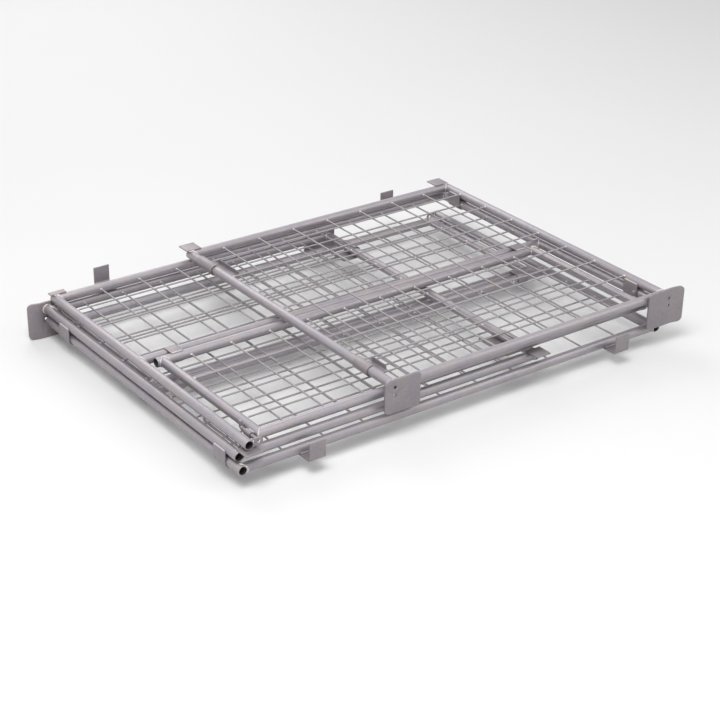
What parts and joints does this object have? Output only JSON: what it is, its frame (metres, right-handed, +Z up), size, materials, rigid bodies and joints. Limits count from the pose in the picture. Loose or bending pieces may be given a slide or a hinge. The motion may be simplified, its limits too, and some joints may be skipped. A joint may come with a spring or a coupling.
{
  "type": "mesh pallet collar",
  "caption": "Folded galvanised mesh pallet collar: hinged long and short tube-framed mesh panels with drop flaps, corner plates, slide latches and pallet hooks, lying flat in a stack.",
  "frame": {"origin": "middle of the folded collar's bounding box, at the bottom edge of the lower corner plates", "axes": "+X along the long panels towards the upper pair's hinge, +Y towards the upper pair's feet, +Z up"},
  "size_m": [1.2268, 0.8748, 0.1416],
  "materials": {
    "zinc_tube": "satin",
    "zinc_wire": "satin",
    "zinc_sheet": "satin"
  },
  "bodies": {
    "upper_long": {"upper_long_hinge_post": "zinc_tube", "upper_long_free_post": "zinc_tube", "upper_long_bottom_rail": "zinc_tube", "upper_long_mid_rail": "zinc_tube", "upper_long_mesh": "zinc_wire", "upper_pallet_hooks": "zinc_sheet", "upper_long_foot_tab": "zinc_sheet", "upper_latch_rods": "zinc_sheet", "upper_flap_catches": "zinc_sheet"},
    "upper_flap": {"upper_flap_left_tube": "zinc_tube", "upper_flap_right_tube": "zinc_tube", "upper_flap_outer_rail": "zinc_tube", "upper_flap_hinge_rail": "zinc_tube", "upper_flap_mesh": "zinc_wire", "upper_flap_hinges": "zinc_sheet", "upper_flap_bolt_guides": "zinc_sheet"},
    "upper_left_bolt": {"upper_flap_left_bolt": "zinc_sheet"},
    "upper_right_bolt": {"upper_flap_right_bolt": "zinc_sheet"},
    "upper_short": {"upper_short_hinge_post": "zinc_tube", "upper_short_free_post": "zinc_tube", "upper_short_bottom_rail": "zinc_tube", "upper_short_top_rail": "zinc_tube", "upper_short_mesh": "zinc_wire", "upper_hinge_corner_plate": "zinc_sheet", "upper_free_corner_plate": "zinc_sheet", "upper_bottom_tabs": "zinc_sheet", "upper_hinge_straps": "zinc_sheet"},
    "upper_top_latch": {"upper_top_latch": "zinc_sheet"},
    "upper_low_latch": {"upper_low_latch": "zinc_sheet"},
    "lower_long": {"lower_long_hinge_post": "zinc_tube", "lower_long_free_post": "zinc_tube", "lower_long_bottom_rail": "zinc_tube", "lower_long_mid_rail": "zinc_tube", "lower_long_mesh": "zinc_wire", "lower_pallet_hooks": "zinc_sheet", "lower_long_foot_tab": "zinc_sheet", "lower_latch_rods": "zinc_sheet", "lower_flap_catches": "zinc_sheet"},
    "lower_flap": {"lower_flap_left_tube": "zinc_tube", "lower_flap_right_tube": "zinc_tube", "lower_flap_outer_rail": "zinc_tube", "lower_flap_hinge_rail": "zinc_tube", "lower_flap_mesh": "zinc_wire", "lower_flap_hinges": "zinc_sheet", "lower_flap_bolt_guides": "zinc_sheet"},
    "lower_left_bolt": {"lower_flap_left_bolt": "zinc_sheet"},
    "lower_right_bolt": {"lower_flap_right_bolt": "zinc_sheet"},
    "lower_short": {"lower_short_hinge_post": "zinc_tube", "lower_short_free_post": "zinc_tube", "lower_short_bottom_rail": "zinc_tube", "lower_short_top_rail": "zinc_tube", "lower_short_mesh": "zinc_wire", "lower_hinge_corner_plate": "zinc_sheet", "lower_free_corner_plate": "zinc_sheet", "lower_bottom_tabs": "zinc_sheet", "lower_hinge_straps": "zinc_sheet"},
    "lower_top_latch": {"lower_top_latch": "zinc_sheet"},
    "lower_low_latch": {"lower_low_latch": "zinc_sheet"}
  },
  "joints": [
    {"name": "lower_fold", "type": "hinge", "parent": "lower_long", "child": "lower_short", "pos_m": [-0.566, 0, 0.0442], "axis": [0, -1, 0], "range_deg": [0, 90]},
    {"name": "pair_lift", "type": "slide", "parent": "lower_short", "child": "upper_long", "axis": [0, 0, 1], "range_m": [0, 1.04]},
    {"name": "upper_fold", "type": "hinge", "parent": "upper_long", "child": "upper_short", "pos_m": [0.566, 0, 0.0958], "axis": [0, 1, 0], "range_deg": [0, 90]},
    {"name": "lower_flap_drop", "type": "hinge", "parent": "lower_long", "child": "lower_flap", "pos_m": [0, -0.023, 0.0442], "axis": [-1, 0, 0], "range_deg": [0, 145]},
    {"name": "upper_flap_drop", "type": "hinge", "parent": "upper_long", "child": "upper_flap", "pos_m": [0, 0.023, 0.0958], "axis": [1, 0, 0], "range_deg": [0, 145]},
    {"name": "lower_left_bolt_slide", "type": "slide", "parent": "lower_flap", "child": "lower_left_bolt", "axis": [0, 1, 0], "range_m": [0, 0.012]},
    {"name": "lower_right_bolt_slide", "type": "slide", "parent": "lower_flap", "child": "lower_right_bolt", "axis": [0, 1, 0], "range_m": [0, 0.012]},
    {"name": "upper_left_bolt_slide", "type": "slide", "parent": "upper_flap", "child": "upper_left_bolt", "axis": [0, -1, 0], "range_m": [0, 0.012]},
    {"name": "upper_right_bolt_slide", "type": "slide", "parent": "upper_flap", "child": "upper_right_bolt", "axis": [0, -1, 0], "range_m": [0, 0.012]},
    {"name": "lower_top_latch_slide", "type": "slide", "parent": "lower_short", "child": "lower_top_latch", "axis": [0, -1, 0], "range_m": [0, 0.03]},
    {"name": "lower_low_latch_slide", "type": "slide", "parent": "lower_short", "child": "lower_low_latch", "axis": [0, 1, 0], "range_m": [0, 0.03]},
    {"name": "upper_top_latch_slide", "type": "slide", "parent": "upper_short", "child": "upper_top_latch", "axis": [0, 1, 0], "range_m": [0, 0.03]},
    {"name": "upper_low_latch_slide", "type": "slide", "parent": "upper_short", "child": "upper_low_latch", "axis": [0, -1, 0], "range_m": [0, 0.03]}
  ],
  "couplings": [
    {"joint": "upper_flap_drop", "follows": "pair_lift", "rad_per_m": 2.433}
  ]
}
